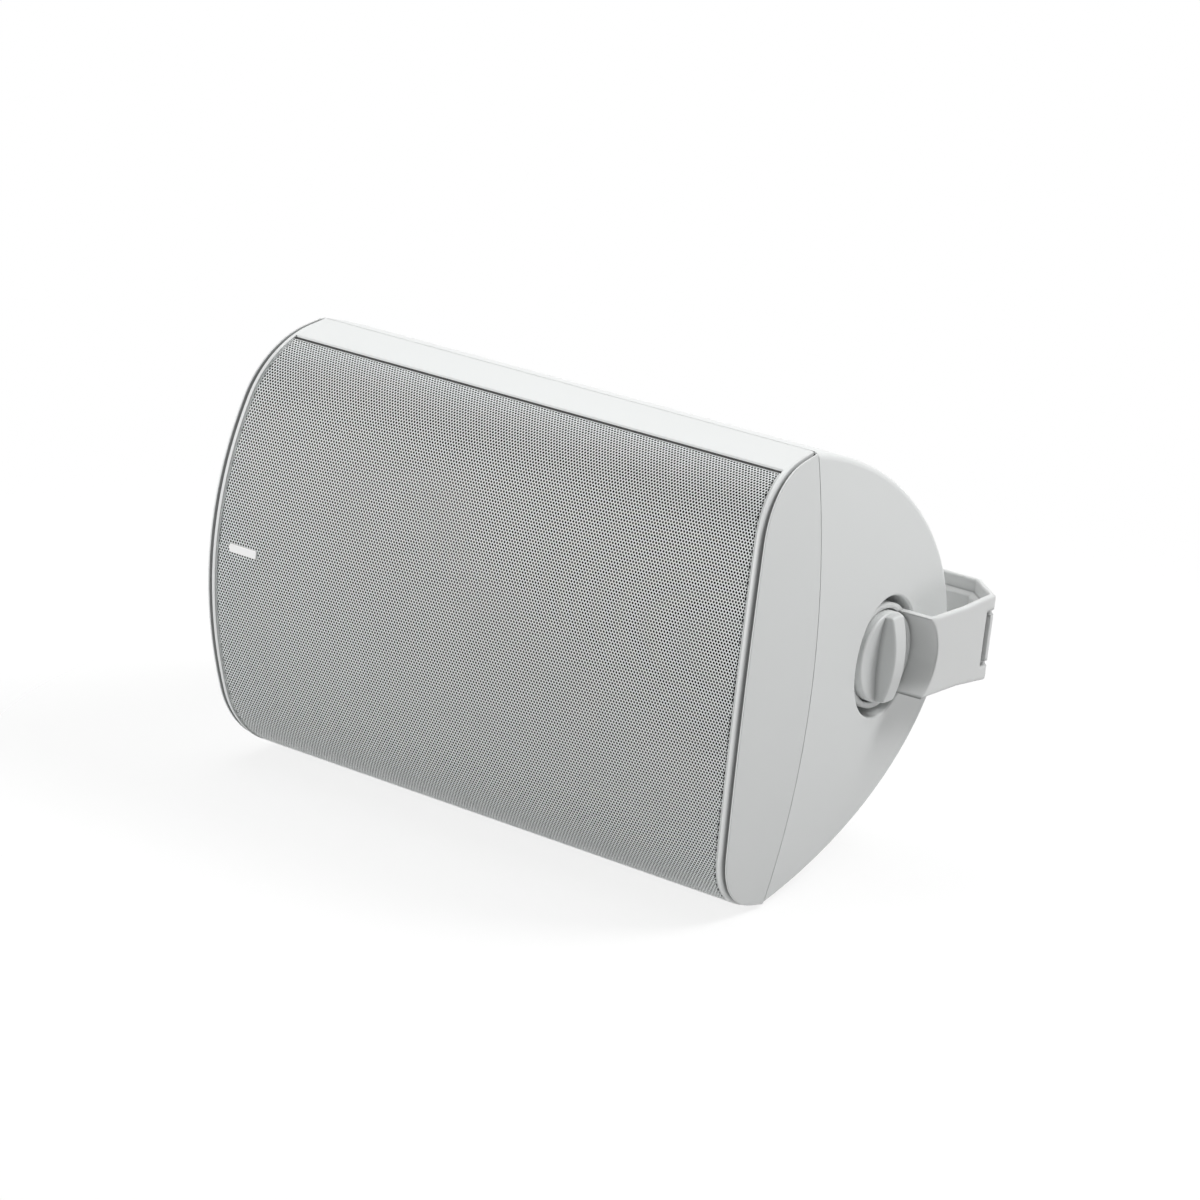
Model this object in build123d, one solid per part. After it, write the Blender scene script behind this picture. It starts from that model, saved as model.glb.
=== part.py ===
from build123d import *
import os
from math import cos, hypot, radians, sin, sqrt

# Two-way outdoor loudspeaker lying on its long side in a U-shaped wall bracket, in millimetres.
# X runs along the cabinet, +Y points to the wall and +Z up. The origin is the middle of the
# bracket's wall face. Pieces are drawn with the cabinet's parting plane at Y = 0 and are moved
# to the wall frame when they are written.

# Cabinet outline
half_height = 116.0  # middle to the top edge, at the parting line
half_length = 155.0  # middle to a corner, at the parting line
end_bulge = 12.7  # how far a barrel end stands out beyond its corners
end_lean = 0.08  # how much the rear ends lean in, per millimetre of depth
front_depth = 60.0  # parting line to the middle of the front
front_radius = 300.0  # crown of the front
bend_radius = 48.0  # bend between the front and the side strips
strip_angle = 11.0  # lean of the side strips, degrees
rear_depth = 146.5  # parting line to the back
rear_angle = 10.0  # lean of the back where it leaves the parting line, degrees
rear_side_handle = 112.0  # length of the flatter stretch of the back curve
rear_nose_handle = 34.0  # roundness of the back curve at its deepest point
rear_edge_round = 4.0  # rounding where the back meets the ends
wall = 4.0  # moulded wall
parting_gap = 0.5  # shadow gap between the front frame and the rear cabinet
gasket_setback = 1.5  # seal kept back from the outside

# Front frame
bead_width = 2.4  # rounded bead beside the grille
bead_round = 1.1
groove_width = 1.9  # groove between the bead and the end face
groove_depth = 3.2
lip_width = 0.8  # edge of the end face beside the groove
lip_drop = 0.7  # the lip stays this far below the bead
end_wall = 9.0  # end of the frame behind the bead
grille_edge = 23.5  # parting line to the front edge of the side strips
ledge_depth = 18.0  # parting line to the ledge behind the grille's edge
ledge_thickness = 4.0
baffle_depth = 36.0  # parting line to the front of the baffle
baffle_thickness = 8.0
baffle_setback = 23.0  # top edge to the baffle's edge

# Grille
grille_inset = 0.3  # sheet lies this far under the bead
grille_sheet = 1.2
grille_gap = 2.2  # dark gap beside the side strips
grille_end_gap = 0.4
grille_return = 6.0  # edge turned in along the strips
seal_drop = 0.6  # foam in the dark gap, below the sheet
cloth_gap = 0.2
cloth_sheet = 0.5
plate_width = 18.0  # bare name plate
plate_height = 4.5
plate_thickness = 1.2
plate_round = 0.3
plate_from_end = 23.5  # middle of the plate to the end's highest point
plate_up = 1.5

# Pivot, knob and bracket
pivot_depth = 77.3  # parting line to the pivot axis
pocket_radius = 31.5
pocket_inset = 10.0  # corner of the parting line to the pocket's floor
pocket_round = 1.0
boss_radius = 12.0
insert_radius = 6.0
insert_length = 20.0
stud_radius = 4.0
stud_fit = 0.05
stud_reach = 19.0  # stud length inside the cabinet
washer_radius = 20.0
washer_thickness = 1.2
running_gap = 0.3
eye_ring = 3.0  # wall of the ring around the knob
eye_thickness = 5.0
eye_rise = 6.5  # ring above the eye's floor
eye_bore = 5.0
knob_radius = 23.5
knob_rim = 10.0  # height of the knob's side wall
knob_hub = 5.0  # stud length held in the knob
knob_round = 1.2
face_dip = 1.4  # the knob's face sinks to its middle
grip_width = 10.5
grip_height = 8.4  # grip bar above the rim
grip_fall = 4.6  # the bar is this much lower at its ends
grip_draft = 0.8  # the bar widens to its foot
grip_setback = 0.8  # the bar's ends to the knob's side wall
grip_round = 1.3
arm_clearance = 5.3  # barrel end to the inside of an arm
arm_height = 42.0
arm_sheet = 3.5
flare_start = 50.0  # pivot axis to where the arms grow taller
flare_rise = 2.0
corner_width = 20.0
corner_depth = 19.0
bracket_reach = 97.0  # pivot axis to the wall face
dish_gap = 1.0  # knob to the dished seat around it
dish_flare = 0.8
bracket_round = 1.2
pad_rise = 3.0  # raised panel inside the back span
pad_border = 7.0
pad_bevel = 2.0
slot_width = 6.5  # wall screws
slot_length = 14.0
slot_spacing = 120.0
notch_width = 4.0  # upright groove before the bracket's corner
notch_length = 30.0
notch_depth = 2.2
notch_setback = 5.0  # middle of the groove to the corner
slit_height = 2.6  # level cuts at the groove's ends, round the corner

# Woofer
woofer_x = -58.0
flange_radius = 83.0
flange_thickness = 4.0
flange_fit = 0.4
flange_screw_edge = 0.3  # screw heads to the flange's edge
lip_clearance = 0.5  # surround's lip to the screw heads
basket_sheet = 3.0
basket_depth = 54.0  # flange front to the motor seat
basket_neck = 1.0  # basket's throat to the baffle's opening
basket_collar = 4.0
basket_legs = 6
basket_window = 26.0
basket_hole = 21.0
leg_inset = 6.0  # feet of the legs to the motor's edge
motor_radius = 45.0
plate_steel = 6.0
magnet_radius = 50.0
magnet_height = 16.0
magnet_hole = 22.0
pole_radius = 15.0
coil_radius = 15.7
coil_sheet = 0.6
coil_gap = 0.6
coil_length = 18.0
cone_sheet = 1.2
cone_lip = 4.0
cone_neck = 9.0  # spider's seat to the cone's foot
neck_height = 4.0
cone_setback = 1.0  # cone's edge behind the flange
surround_sheet = 1.2
surround_roll = 6.0
surround_width = 10.8
surround_lip = 2.0
surround_overlap = 1.4  # the roll covers this much of the flange
surround_gap = 0.6  # cone's edge to the roll
cap_radius = 24.0
cap_rise = 7.0
spider_sheet = 0.8
spider_fit = 0.1
spider_edge = 0.5

# Tweeter
tweeter_x = 92.0
faceplate_radius = 50.0
faceplate_thickness = 4.0
faceplate_screw_edge = 2.6
tweeter_screw_count = 4
dome_radius = 13.0
dome_fit = 0.3
dome_rise = 5.8
horn_radius = 32.0
horn_depth = 3.2
tweeter_can_radius = 33.0
tweeter_can_height = 24.0
can_neck = 3.0
can_step = 4.0

# Terminals and crossover
terminal_x = 70.0
recess_width = 76.0
recess_height = 48.0
recess_floor = 120.0  # parting line to the floor of the terminal recess
terminal_thickness = 4.0
terminal_margin = 3.0
terminal_round = 3.0
post_spacing = 30.0
post_radius = 6.5
post_length = 17.0
post_chamfer = 1.0
board_margin = 10.0  # board beyond the recess at each side
board_sheet = 1.6
board_standoff = 16.0
standoff_radius = 3.5
coil_core = 7.0
coil_outside = 16.0
coil_height = 14.0
capacitor_radius = 8.0
capacitor_length = 32.0
component_gap = 1.0

# Screws and padding
screw_radius = 1.75
screw_fit = 0.05
screw_head = 3.4
screw_head_height = 2.4
screw_head_round = 0.8
screw_slot_width = 0.8
screw_slot_length = 4.0
screw_slot_depth = 1.0
frame_screw_length = 30.0
short_screw_length = 12.0
frame_screw_columns = 4
frame_screw_inset = 23.0  # corner to the outer screws
frame_boss_radius = 5.5
screw_setback = 13.2  # frame screws to the top and bottom edges
frame_boss_length = 20.0
padding_thickness = 12.0
padding_start = 58.0  # parting line to the padding's front edge
padding_gap = 0.3

# Worked-out shape of the front
strip_along = Vector(-cos(radians(strip_angle)), -sin(radians(strip_angle)))
strip_inward = Vector(sin(radians(strip_angle)), -cos(radians(strip_angle)))
front_centre = Vector(front_radius - front_depth, 0)
bend_base = Vector(0, half_height) + strip_inward * bend_radius
bend_arm = bend_base - front_centre
bend_shift = bend_arm.dot(strip_along)
bend_reach = sqrt(bend_shift**2 - bend_arm.dot(bend_arm) + (front_radius - bend_radius) ** 2) - bend_shift
bend_centre = bend_base + strip_along * bend_reach
bend_outward = (bend_centre - front_centre).normalized()
end_radius = (half_height**2 + end_bulge**2) / (2 * end_bulge)
end_centre = half_length + end_bulge - end_radius
end_peak = half_length + end_bulge
span = 3 * end_peak  # longer than the cabinet, for cutting tools
wall_depth = pivot_depth + bracket_reach
pocket_floor = half_length - pocket_inset
baffle_half_height = half_height - baffle_setback
arm_outside = end_peak + arm_clearance + arm_sheet
dish_radius = knob_radius + dish_gap
eye_radius = dish_radius + eye_ring
corner_start = bracket_reach - corner_depth
flange_screw_ring = flange_radius - flange_screw_edge - screw_head
roll_outer = flange_screw_ring - screw_head - lip_clearance - surround_lip
frame_opening = roll_outer - surround_overlap
cone_radius = roll_outer - surround_width - surround_gap
board_width = recess_width + 2 * board_margin
board_height = 2 * coil_outside + 4 * capacitor_radius + 4 * component_gap
screw_hole = screw_radius + screw_fit

nodes = {}


def slab(y0, y1, half_width=span, half_tall=span):
    """A block between two depths, centred on the cabinet."""
    return Pos(0, (y0 + y1) / 2, 0) * Box(2 * half_width, y1 - y0, 2 * half_tall)


def block(x0, x1, y0, y1, z0, z1):
    """A block from its six sides."""
    middle = Pos((x0 + x1) / 2, (y0 + y1) / 2, (z0 + z1) / 2)
    return middle * Box(x1 - x0, y1 - y0, z1 - z0)


def rod(radius, y0, y1, x=0.0, z=0.0):
    """A round bar along Y."""
    return Pos(x, (y0 + y1) / 2, z) * Rot(90, 0, 0) * Cylinder(radius, y1 - y0)


def pin(radius, x0, x1):
    """A round bar along X, on the pivot axis."""
    return Pos((x0 + x1) / 2, pivot_depth, 0) * Rot(0, 90, 0) * Cylinder(radius, x1 - x0)


def turned(x, *points):
    """A piece turned about a line along Y, from (radius, depth) corners."""
    profile = make_face(Polyline(*points, close=True))
    return Pos(x, 0, 0) * revolve(profile, Axis.Y)


def dome_arc(radius, edge, rise):
    """Half the section of a round dome, from its middle out to its edge at the given depth."""
    ball = (radius**2 + rise**2) / (2 * rise)
    halfway = edge - rise + ball - sqrt(ball**2 - (radius / 2) ** 2)
    return ThreePointArc((0, edge - rise), (radius / 2, halfway), (radius, edge))


def mirrored(point):
    """The same point on the other side of the middle plane."""
    return Vector(point.X, -point.Y)


def both_sides(piece):
    """A piece and its mirror image at the other end."""
    return piece, mirror(piece, Plane.YZ)


def front_prism(inset):
    """The front of the section, drawn inset, run along X."""
    start = Vector(0, half_height - inset / cos(radians(strip_angle)))
    bend_start = bend_centre - strip_inward * (bend_radius - inset)
    bend_middle = bend_centre + (bend_outward - strip_inward).normalized() * (bend_radius - inset)
    bend_end = bend_centre + bend_outward * (bend_radius - inset)
    nose = Vector(inset - front_depth, 0)
    outline = [
        Line(start, bend_start),
        ThreePointArc(bend_start, bend_middle, bend_end),
        ThreePointArc(bend_end, nose, mirrored(bend_end)),
        ThreePointArc(mirrored(bend_end), mirrored(bend_middle), mirrored(bend_start)),
        Line(mirrored(bend_start), mirrored(start)),
        Line(mirrored(start), start),
    ]
    return extrude(Plane.YZ * make_face(outline), span, both=True)


def rear_prism(inset):
    """The back of the section, drawn inset, run along X."""
    lean = radians(rear_angle)
    top = half_height - inset / cos(lean)
    deep = rear_depth - inset
    side = rear_side_handle * deep / rear_depth
    nose = rear_nose_handle * top / half_height
    handle = (side * cos(lean), top - side * sin(lean))
    upper = Bezier((0, top), handle, (deep, nose), (deep, 0))
    lower = Bezier((deep, 0), (deep, -nose), (handle[0], -handle[1]), (0, -top))
    outline = [upper, lower, Line((0, -top), (0, top))]
    return extrude(Plane.YZ * make_face(outline), span, both=True)


def between_ends(inset, y0, y1, lean=0.0):
    """The room between the two barrel ends, drawn inset, from depth y0 to y1."""
    base = Plane(origin=(0, y0, 0), x_dir=(1, 0, 0), z_dir=(0, 1, 0))
    disc = base * Pos(end_centre - lean * y0, 0) * Rot(0, 0, 180) * Circle(end_radius - inset)
    along = Vector(-lean, 1, 0).normalized()
    right = extrude(disc, (y1 - y0) * hypot(1, lean), dir=along)
    return right & mirror(right, Plane.YZ)


def screw(x, y, z, length):
    """A pan-head screw with its head to the front and its seat at depth y."""
    top = y - screw_head_height
    head = rod(screw_head, top, y, x, z)
    head = fillet(head.edges().group_by(Axis.Y)[0], screw_head_round)
    slot = Box(screw_slot_width, 2 * screw_slot_depth, screw_slot_length)
    return head - Pos(x, top, z) * slot + rod(screw_radius, y, y + length, x, z)


def ring_places(x, radius, count):
    """Screw places on a circle around a driver, half a step off its level line."""
    turns = [radians(360 * (i + 0.5) / count) for i in range(count)]
    return [(x + radius * cos(turn), radius * sin(turn)) for turn in turns]


frame_front = -parting_gap / 2
cabinet_front = parting_gap / 2
baffle_front = -baffle_depth
baffle_back = baffle_front + baffle_thickness
flange_back = baffle_front + flange_thickness
ledge_front = -ledge_depth
ledge_back = ledge_front + ledge_thickness
screw_row = half_height - screw_setback
outer_column = half_length - frame_screw_inset
column_step = 2 * outer_column / (frame_screw_columns - 1)
frame_columns = [column_step * i - outer_column for i in range(frame_screw_columns)]
frame_places = [(x, z) for x in frame_columns for z in (-screw_row, screw_row)]
woofer_places = ring_places(woofer_x, flange_screw_ring, basket_legs)
tweeter_screw_ring = faceplate_radius - faceplate_screw_edge - screw_head
tweeter_places = ring_places(tweeter_x, tweeter_screw_ring, tweeter_screw_count)


def end_edges(piece):
    """Front edges of a piece where it meets the barrel ends."""
    edges = piece.edges().filter_by(lambda e: abs(e.center().X) > half_length / 2)
    return edges.filter_by(lambda e: e.center().Y < frame_front - 1)


# Front frame: side strips, barrel end caps with a bead beside the grille, and the driver baffle.
front_range = (-front_depth - 1, frame_front)
bead_outside = lip_width + groove_width
rim_inset = bead_outside + bead_width
strips = front_prism(0) & between_ends(bead_outside, *front_range)
strips = fillet(end_edges(strips), bead_round)
end_caps = front_prism(lip_drop) & between_ends(0, *front_range)
end_caps -= slab(*front_range, half_width=half_length - end_wall)
end_caps -= between_ends(lip_width, *front_range) - front_prism(groove_depth)
grille_bay = slab(-2 * front_depth, -grille_edge)
grille_bay += front_prism(wall) & slab(-grille_edge - 1, ledge_front)
grille_bay -= slab(baffle_front, ledge_front, half_tall=baffle_half_height)
grille_bay &= between_ends(rim_inset, -2 * front_depth, ledge_front)
chamber = front_prism(wall) & between_ends(rim_inset + wall, ledge_back, 1)
chamber += slab(baffle_back, ledge_back, half_length - end_wall, baffle_half_height - wall)
frame = strips + end_caps - grille_bay - chamber
for x, z in frame_places:
    frame += rod(frame_boss_radius, ledge_back, frame_front, x, z) & front_prism(wall / 2)
    frame -= rod(screw_hole, -front_depth, 0, x, z)
frame -= rod(flange_radius + flange_fit, -front_depth, flange_back, woofer_x)
frame -= rod(frame_opening + flange_fit, -front_depth, 0, woofer_x)
frame -= rod(faceplate_radius + flange_fit, -front_depth, baffle_front + faceplate_thickness, tweeter_x)
frame -= rod(tweeter_can_radius + flange_fit, -front_depth, 0, tweeter_x)
for x, z in woofer_places + tweeter_places:
    frame -= rod(screw_hole, -front_depth, baffle_front + short_screw_length + 1, x, z)
nodes["front_frame"] = frame

# Seal in the parting gap.
seal = slab(frame_front, cabinet_front, half_tall=half_height - gasket_setback)
seal &= between_ends(gasket_setback, frame_front, cabinet_front)
seal_hole = slab(frame_front, cabinet_front, half_tall=half_height - wall)
seal_hole &= between_ends(wall, frame_front, cabinet_front)
nodes["cabinet_gasket"] = seal - seal_hole

# Rear cabinet: a rounded shell with a pivot pocket in each end and a terminal recess in the back.
shell = rear_prism(0) & between_ends(0, cabinet_front, rear_depth + 1, end_lean)
rear_edges = shell.edges().filter_by(lambda e: abs(e.center().X) > half_length / 2)
rear_edges = rear_edges.filter_by(lambda e: e.bounding_box().size.Y > rear_depth / 2)
shell = fillet(rear_edges, rear_edge_round)
pocket = pin(pocket_radius, pocket_floor, span)
for hole in both_sides(pocket):
    shell -= hole
mouth_edges = shell.edges().filter_by(lambda e: abs(e.center().X) > pocket_floor + 2)
mouth_edges = mouth_edges.filter_by(
    lambda e: abs(hypot(e.center().Y - pivot_depth, e.center().Z) - pocket_radius) < 0.1
)
shell = fillet(mouth_edges, pocket_round)
inside = rear_prism(wall) & between_ends(wall, cabinet_front, rear_depth + 1, end_lean)
recess_box = block(
    terminal_x - recess_width / 2,
    terminal_x + recess_width / 2,
    recess_floor,
    rear_depth + 1,
    -recess_height / 2,
    recess_height / 2,
)
recess_lining = offset(recess_box, wall, kind=Kind.INTERSECTION) & rear_prism(wall / 2)
pocket_lining = pin(pocket_radius + wall, pocket_floor - wall, end_peak)
pocket_lining += pin(boss_radius, pocket_floor - insert_length - wall, pocket_floor)
cabinet = shell - inside + recess_lining - recess_box
for lining in both_sides(pocket_lining):
    cabinet += lining & shell
insert_hole = pin(insert_radius, pocket_floor - insert_length, pocket_floor)
for hole in both_sides(insert_hole):
    cabinet -= hole
for x, z in frame_places:
    edge = half_height if z > 0 else -half_height
    web = block(x - wall / 2, x + wall / 2, cabinet_front, frame_boss_length, *sorted((z, edge)))
    boss = rod(frame_boss_radius, cabinet_front, frame_boss_length, x, z)
    cabinet += (boss + web) & rear_prism(wall / 2)
    cabinet -= rod(screw_hole, 0, ledge_front + frame_screw_length + 1, x, z)
terminal_half = recess_width / 2 - terminal_margin
terminal_tall = recess_height / 2 - terminal_margin
window_half = terminal_half - 2 * terminal_margin
window_tall = terminal_tall - 2 * terminal_margin
window = (terminal_x - window_half, terminal_x + window_half, 0, recess_floor + 1, -window_tall, window_tall)
cabinet -= block(*window) & slab(recess_floor - 2 * wall, recess_floor + 1)
board_back = recess_floor - wall - board_standoff
standoff_column = recess_width / 2 + wall - standoff_radius
standoffs = [
    (terminal_x + side * standoff_column, row * recess_height / 2)
    for side in (-1, 1)
    for row in (-1, 1)
]

# Grille: a formed sheet with turned-in edges along the strips, and the cloth behind it.
grille_range = (-2 * front_depth, -grille_edge - grille_gap)
grille_room = between_ends(rim_inset + grille_end_gap, *grille_range)
grille_front = front_prism(grille_inset)
grille_back = front_prism(grille_inset + grille_sheet)
edge_flange = slab(grille_range[1] - grille_sheet, grille_range[1])
edge_flange -= slab(*grille_range, half_tall=half_height - wall - grille_return)
nodes["grille"] = (grille_front & (slab(*grille_range) - grille_back + edge_flange)) & grille_room
cloth_inset = grille_inset + grille_sheet + cloth_gap
cloth = front_prism(cloth_inset) - front_prism(cloth_inset + cloth_sheet)
cloth &= slab(-2 * front_depth, grille_range[1] - grille_sheet - cloth_gap)
nodes["grille_cloth"] = cloth & grille_room
foam = front_prism(grille_inset + seal_drop) - front_prism(wall)
foam &= between_ends(rim_inset + grille_end_gap, grille_range[1], -grille_edge)
nodes["grille_seal"] = foam
plate_back = grille_inset - front_depth
name_plate = block(
    plate_from_end - end_peak - plate_width / 2,
    plate_from_end - end_peak + plate_width / 2,
    plate_back - plate_thickness,
    plate_back,
    plate_up - plate_height / 2,
    plate_up + plate_height / 2,
)
nodes["name_plate"] = fillet(name_plate.edges().group_by(Axis.Y)[0], plate_round)

# Woofer: pressed basket, ring magnet motor, and the cone on its surround and spider.
seat = baffle_front + basket_depth
leg_top = frame_opening - basket_neck
leg_foot = motor_radius - leg_inset
collar_back = flange_back + basket_collar
basket = turned(
    woofer_x,
    (leg_top - basket_sheet, baffle_front),
    (flange_radius, baffle_front),
    (flange_radius, flange_back),
    (leg_top, flange_back),
    (leg_top, collar_back),
    (leg_foot + basket_sheet, seat - basket_sheet),
    (leg_foot + basket_sheet, seat),
    (basket_hole, seat),
    (basket_hole, seat - basket_sheet),
    (leg_foot, seat - basket_sheet),
    (leg_top - basket_sheet, collar_back),
)
window_start = collar_back + basket_collar
window_end = seat - 2 * basket_sheet
for i in range(basket_legs):
    opening = block(leg_foot / 2, span, window_start, window_end, -basket_window / 2, basket_window / 2)
    basket -= Pos(woofer_x, 0, 0) * Rot(0, 360 * i / basket_legs, 0) * opening
for x, z in woofer_places:
    basket -= rod(screw_hole, baffle_front - 1, flange_back + 1, x, z)
nodes["woofer_basket"] = basket
front_plate_hole = coil_radius + coil_sheet + coil_gap
magnet_front = seat + plate_steel
magnet_back = magnet_front + magnet_height
nodes["woofer_front_plate"] = turned(
    woofer_x,
    (front_plate_hole, seat),
    (motor_radius, seat),
    (motor_radius, magnet_front),
    (front_plate_hole, magnet_front),
)
nodes["woofer_magnet"] = turned(
    woofer_x,
    (magnet_hole, magnet_front),
    (magnet_radius, magnet_front),
    (magnet_radius, magnet_back),
    (magnet_hole, magnet_back),
)
nodes["woofer_pole_plate"] = turned(
    woofer_x,
    (0, seat),
    (pole_radius, seat),
    (pole_radius, magnet_back),
    (motor_radius, magnet_back),
    (motor_radius, magnet_back + plate_steel),
    (0, magnet_back + plate_steel),
)
cone_front = baffle_front + cone_setback
neck = seat - cone_neck
neck_top = neck - neck_height
neck_radius = coil_radius + coil_sheet
cone_base = cone_radius - cone_lip
nodes["woofer_cone"] = turned(
    woofer_x,
    (neck_radius, neck),
    (neck_radius, neck_top),
    (cone_base, cone_front),
    (cone_radius, cone_front),
    (cone_radius, cone_front + cone_sheet),
    (cone_base + cone_sheet, cone_front + cone_sheet),
    (neck_radius + 2 * cone_sheet, neck),
)
nodes["woofer_voice_coil"] = turned(
    woofer_x,
    (coil_radius, neck_top),
    (neck_radius, neck_top),
    (neck_radius, neck_top + coil_length),
    (coil_radius, neck_top + coil_length),
)
cone_slope = (neck_top - cone_front) / (cone_base - neck_radius)
cap_edge = neck_top - cone_slope * (cap_radius - neck_radius)
cap_outside = dome_arc(cap_radius, cap_edge, cap_rise)
cap_inside = dome_arc(cap_radius - 2 * cone_sheet, cap_edge, cap_rise - cone_sheet)
cap_profile = [
    cap_outside,
    Line(cap_outside @ 1, cap_inside @ 1),
    cap_inside,
    Line(cap_inside @ 0, cap_outside @ 0),
]
nodes["woofer_dust_cap"] = Pos(woofer_x, 0, 0) * revolve(make_face(cap_profile), Axis.Y)
roll_inner = cone_radius + surround_gap
roll_middle = (roll_inner + roll_outer) / 2
surround_foot = cone_base + surround_sheet
lip_back = baffle_front
lip_front = lip_back - surround_sheet
inner_back = cone_front
inner_front = inner_back - surround_sheet
roll_top = lip_front - surround_roll
surround_profile = [
    Line((surround_foot, inner_back), (surround_foot, inner_front)),
    Line((surround_foot, inner_front), (roll_inner, inner_front)),
    ThreePointArc((roll_inner, inner_front), (roll_middle, roll_top), (roll_outer, lip_front)),
    Line((roll_outer, lip_front), (roll_outer + surround_lip, lip_front)),
    Line((roll_outer + surround_lip, lip_front), (roll_outer + surround_lip, lip_back)),
    Line((roll_outer + surround_lip, lip_back), (roll_outer - surround_sheet, lip_back)),
    ThreePointArc(
        (roll_outer - surround_sheet, lip_back),
        (roll_middle, roll_top + surround_sheet),
        (roll_inner + surround_sheet, inner_back),
    ),
    Line((roll_inner + surround_sheet, inner_back), (surround_foot, inner_back)),
]
nodes["woofer_surround"] = Pos(woofer_x, 0, 0) * revolve(make_face(surround_profile), Axis.Y)
spider_back = seat - basket_sheet
nodes["woofer_spider"] = turned(
    woofer_x,
    (neck_radius + spider_fit, spider_back - spider_sheet),
    (leg_foot - spider_edge, spider_back - spider_sheet),
    (leg_foot - spider_edge, spider_back),
    (neck_radius + spider_fit, spider_back),
)

# Tweeter: a faceplate with a shallow horn, a soft dome and a closed motor.
horn_floor = baffle_front + horn_depth
faceplate_back = baffle_front + faceplate_thickness
faceplate = turned(
    tweeter_x,
    (horn_radius, baffle_front),
    (faceplate_radius, baffle_front),
    (faceplate_radius, faceplate_back),
    (dome_radius + dome_fit, faceplate_back),
    (dome_radius + dome_fit, horn_floor),
)
for x, z in tweeter_places:
    faceplate -= rod(screw_hole, baffle_front - 1, faceplate_back + 1, x, z)
nodes["tweeter_faceplate"] = faceplate
dome_outside = dome_arc(dome_radius, faceplate_back, dome_rise)
dome_base = (0, faceplate_back)
dome_profile = [dome_outside, Line(dome_outside @ 1, dome_base), Line(dome_base, dome_outside @ 0)]
nodes["tweeter_dome"] = Pos(tweeter_x, 0, 0) * revolve(make_face(dome_profile), Axis.Y)
can_back = faceplate_back + tweeter_can_height
nodes["tweeter_motor"] = turned(
    tweeter_x,
    (0, faceplate_back),
    (tweeter_can_radius - can_neck, faceplate_back),
    (tweeter_can_radius - can_neck, faceplate_back + can_step),
    (tweeter_can_radius, faceplate_back + can_step),
    (tweeter_can_radius, can_back),
    (0, can_back),
)

# Terminal plate with two binding posts, and the crossover board inside the recess wall.
terminal_back = recess_floor + terminal_thickness
terminal_plate = block(
    terminal_x - terminal_half,
    terminal_x + terminal_half,
    recess_floor,
    terminal_back,
    -terminal_tall,
    terminal_tall,
)
terminal_plate = fillet(terminal_plate.edges().filter_by(Axis.Y), terminal_round)
post_shank = post_radius / 2
for name, side in (("terminal_post_red", -1), ("terminal_post_black", 1)):
    x = terminal_x + side * post_spacing / 2
    cap = rod(post_radius, terminal_back, terminal_back + post_length, x)
    cap = chamfer(cap.edges().group_by(Axis.Y)[-1], post_chamfer)
    shank = rod(post_shank, recess_floor - 2 * wall, terminal_back, x)
    nodes[name] = cap + shank
    terminal_plate -= rod(post_shank + screw_fit, recess_floor - 1, terminal_back + 1, x)
nodes["terminal_plate"] = terminal_plate
board_front = board_back - board_sheet
board = block(
    terminal_x - board_width / 2,
    terminal_x + board_width / 2,
    board_front,
    board_back,
    -board_height / 2,
    board_height / 2,
)
board_screws = Part()
for x, z in standoffs:
    cabinet += rod(standoff_radius, board_back, recess_floor - wall / 2, x, z)
    cabinet -= rod(screw_hole, board_back, board_front + short_screw_length + 1, x, z)
    board -= rod(screw_hole, board_front - 1, board_back + 1, x, z)
    board_screws += screw(x, board_front, z, short_screw_length)
nodes["rear_cabinet"] = cabinet
nodes["crossover_board"] = board
nodes["board_screws"] = board_screws
coil_row = component_gap + coil_outside - board_height / 2
coils = Part()
for side in (-1, 1):
    x = terminal_x + side * (coil_outside + component_gap)
    winding = rod(coil_outside, board_front - coil_height, board_front, x, coil_row)
    coils += winding - rod(coil_core, -span, span, x, coil_row)
nodes["crossover_coils"] = coils
capacitors = Part()
for row in (0, 1):
    z = board_height / 2 - (row + 1) * component_gap - (2 * row + 1) * capacitor_radius
    middle = Pos(terminal_x, board_front - capacitor_radius, z)
    capacitors += middle * Rot(0, 90, 0) * Cylinder(capacitor_radius, capacitor_length)
nodes["crossover_capacitors"] = capacitors

# Padding against the inside of the back, beside the crossover.
pad_outer = rear_prism(wall + padding_gap) - rear_prism(wall + padding_thickness)
pad_end = pocket_radius + 2 * wall - pocket_floor
pad_room = block(pad_end, terminal_x - recess_width, padding_start, rear_depth, -span, span)
nodes["damping_pad"] = pad_outer & pad_room

# Screws of the frame and the two drivers.
frame_screws = Part()
for x, z in frame_places:
    frame_screws += screw(x, ledge_front, z, frame_screw_length)
nodes["frame_screws"] = frame_screws
woofer_screws = Part()
for x, z in woofer_places:
    woofer_screws += screw(x, baffle_front, z, short_screw_length)
nodes["woofer_screws"] = woofer_screws
tweeter_screws = Part()
for x, z in tweeter_places:
    tweeter_screws += screw(x, baffle_front, z, short_screw_length)
nodes["tweeter_screws"] = tweeter_screws

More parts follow.
